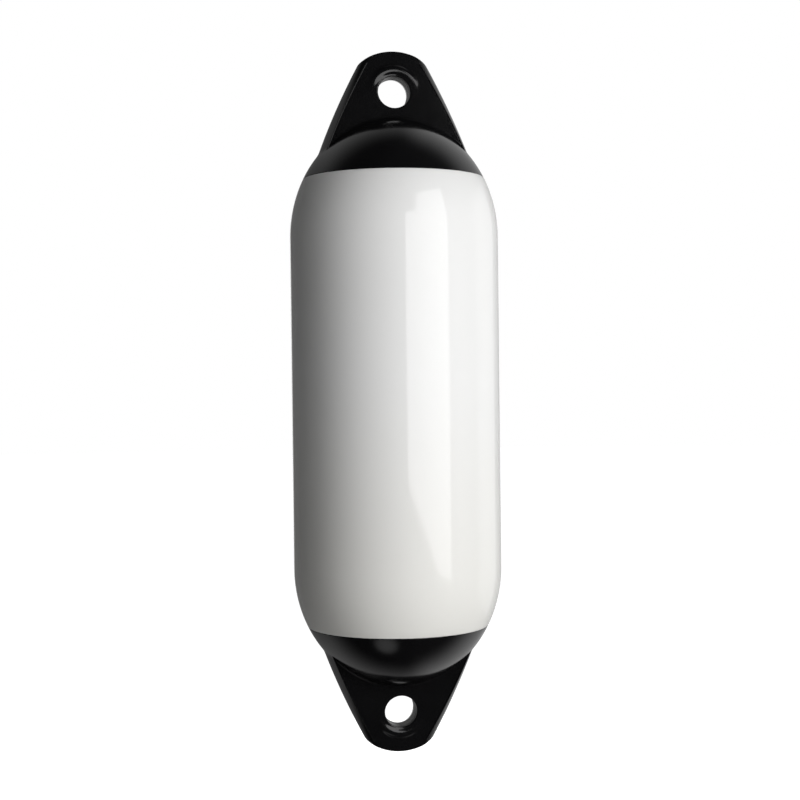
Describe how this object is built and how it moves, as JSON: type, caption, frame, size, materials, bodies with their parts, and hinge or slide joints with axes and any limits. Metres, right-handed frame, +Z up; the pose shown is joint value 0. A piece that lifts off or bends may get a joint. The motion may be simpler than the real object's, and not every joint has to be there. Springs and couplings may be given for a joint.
{
  "type": "pneumatic boat fender",
  "caption": "Cylindrical inflatable boat fender: white vinyl body, black domed ends with rope-eye lugs, and an inflation valve set in the back of the upper end.",
  "frame": {"origin": "centre of the upper rope eye, on the fender's axis, where its rope holds it", "axes": "+Z up along the fender's axis towards the upper tip, -Y the front that the lug's face looks to, +Y the back with the valve, +X to the right seen from the front"},
  "size_m": [0.22, 0.22, 0.74],
  "materials": {
    "white_vinyl": "glossy moulded vinyl",
    "black_vinyl": "semi-gloss moulded vinyl",
    "valve_plastic": "satin moulded plastic",
    "seal_rubber": "smooth rubber ring",
    "screw_plastic": "satin moulded plastic"
  },
  "bodies": {
    "root": {"body_shell": "white_vinyl", "upper_end_cap": "black_vinyl", "lower_end_cap": "black_vinyl", "valve_body": "valve_plastic", "valve_seal": "seal_rubber", "valve_screw": "screw_plastic"}
  },
  "joints": []
}
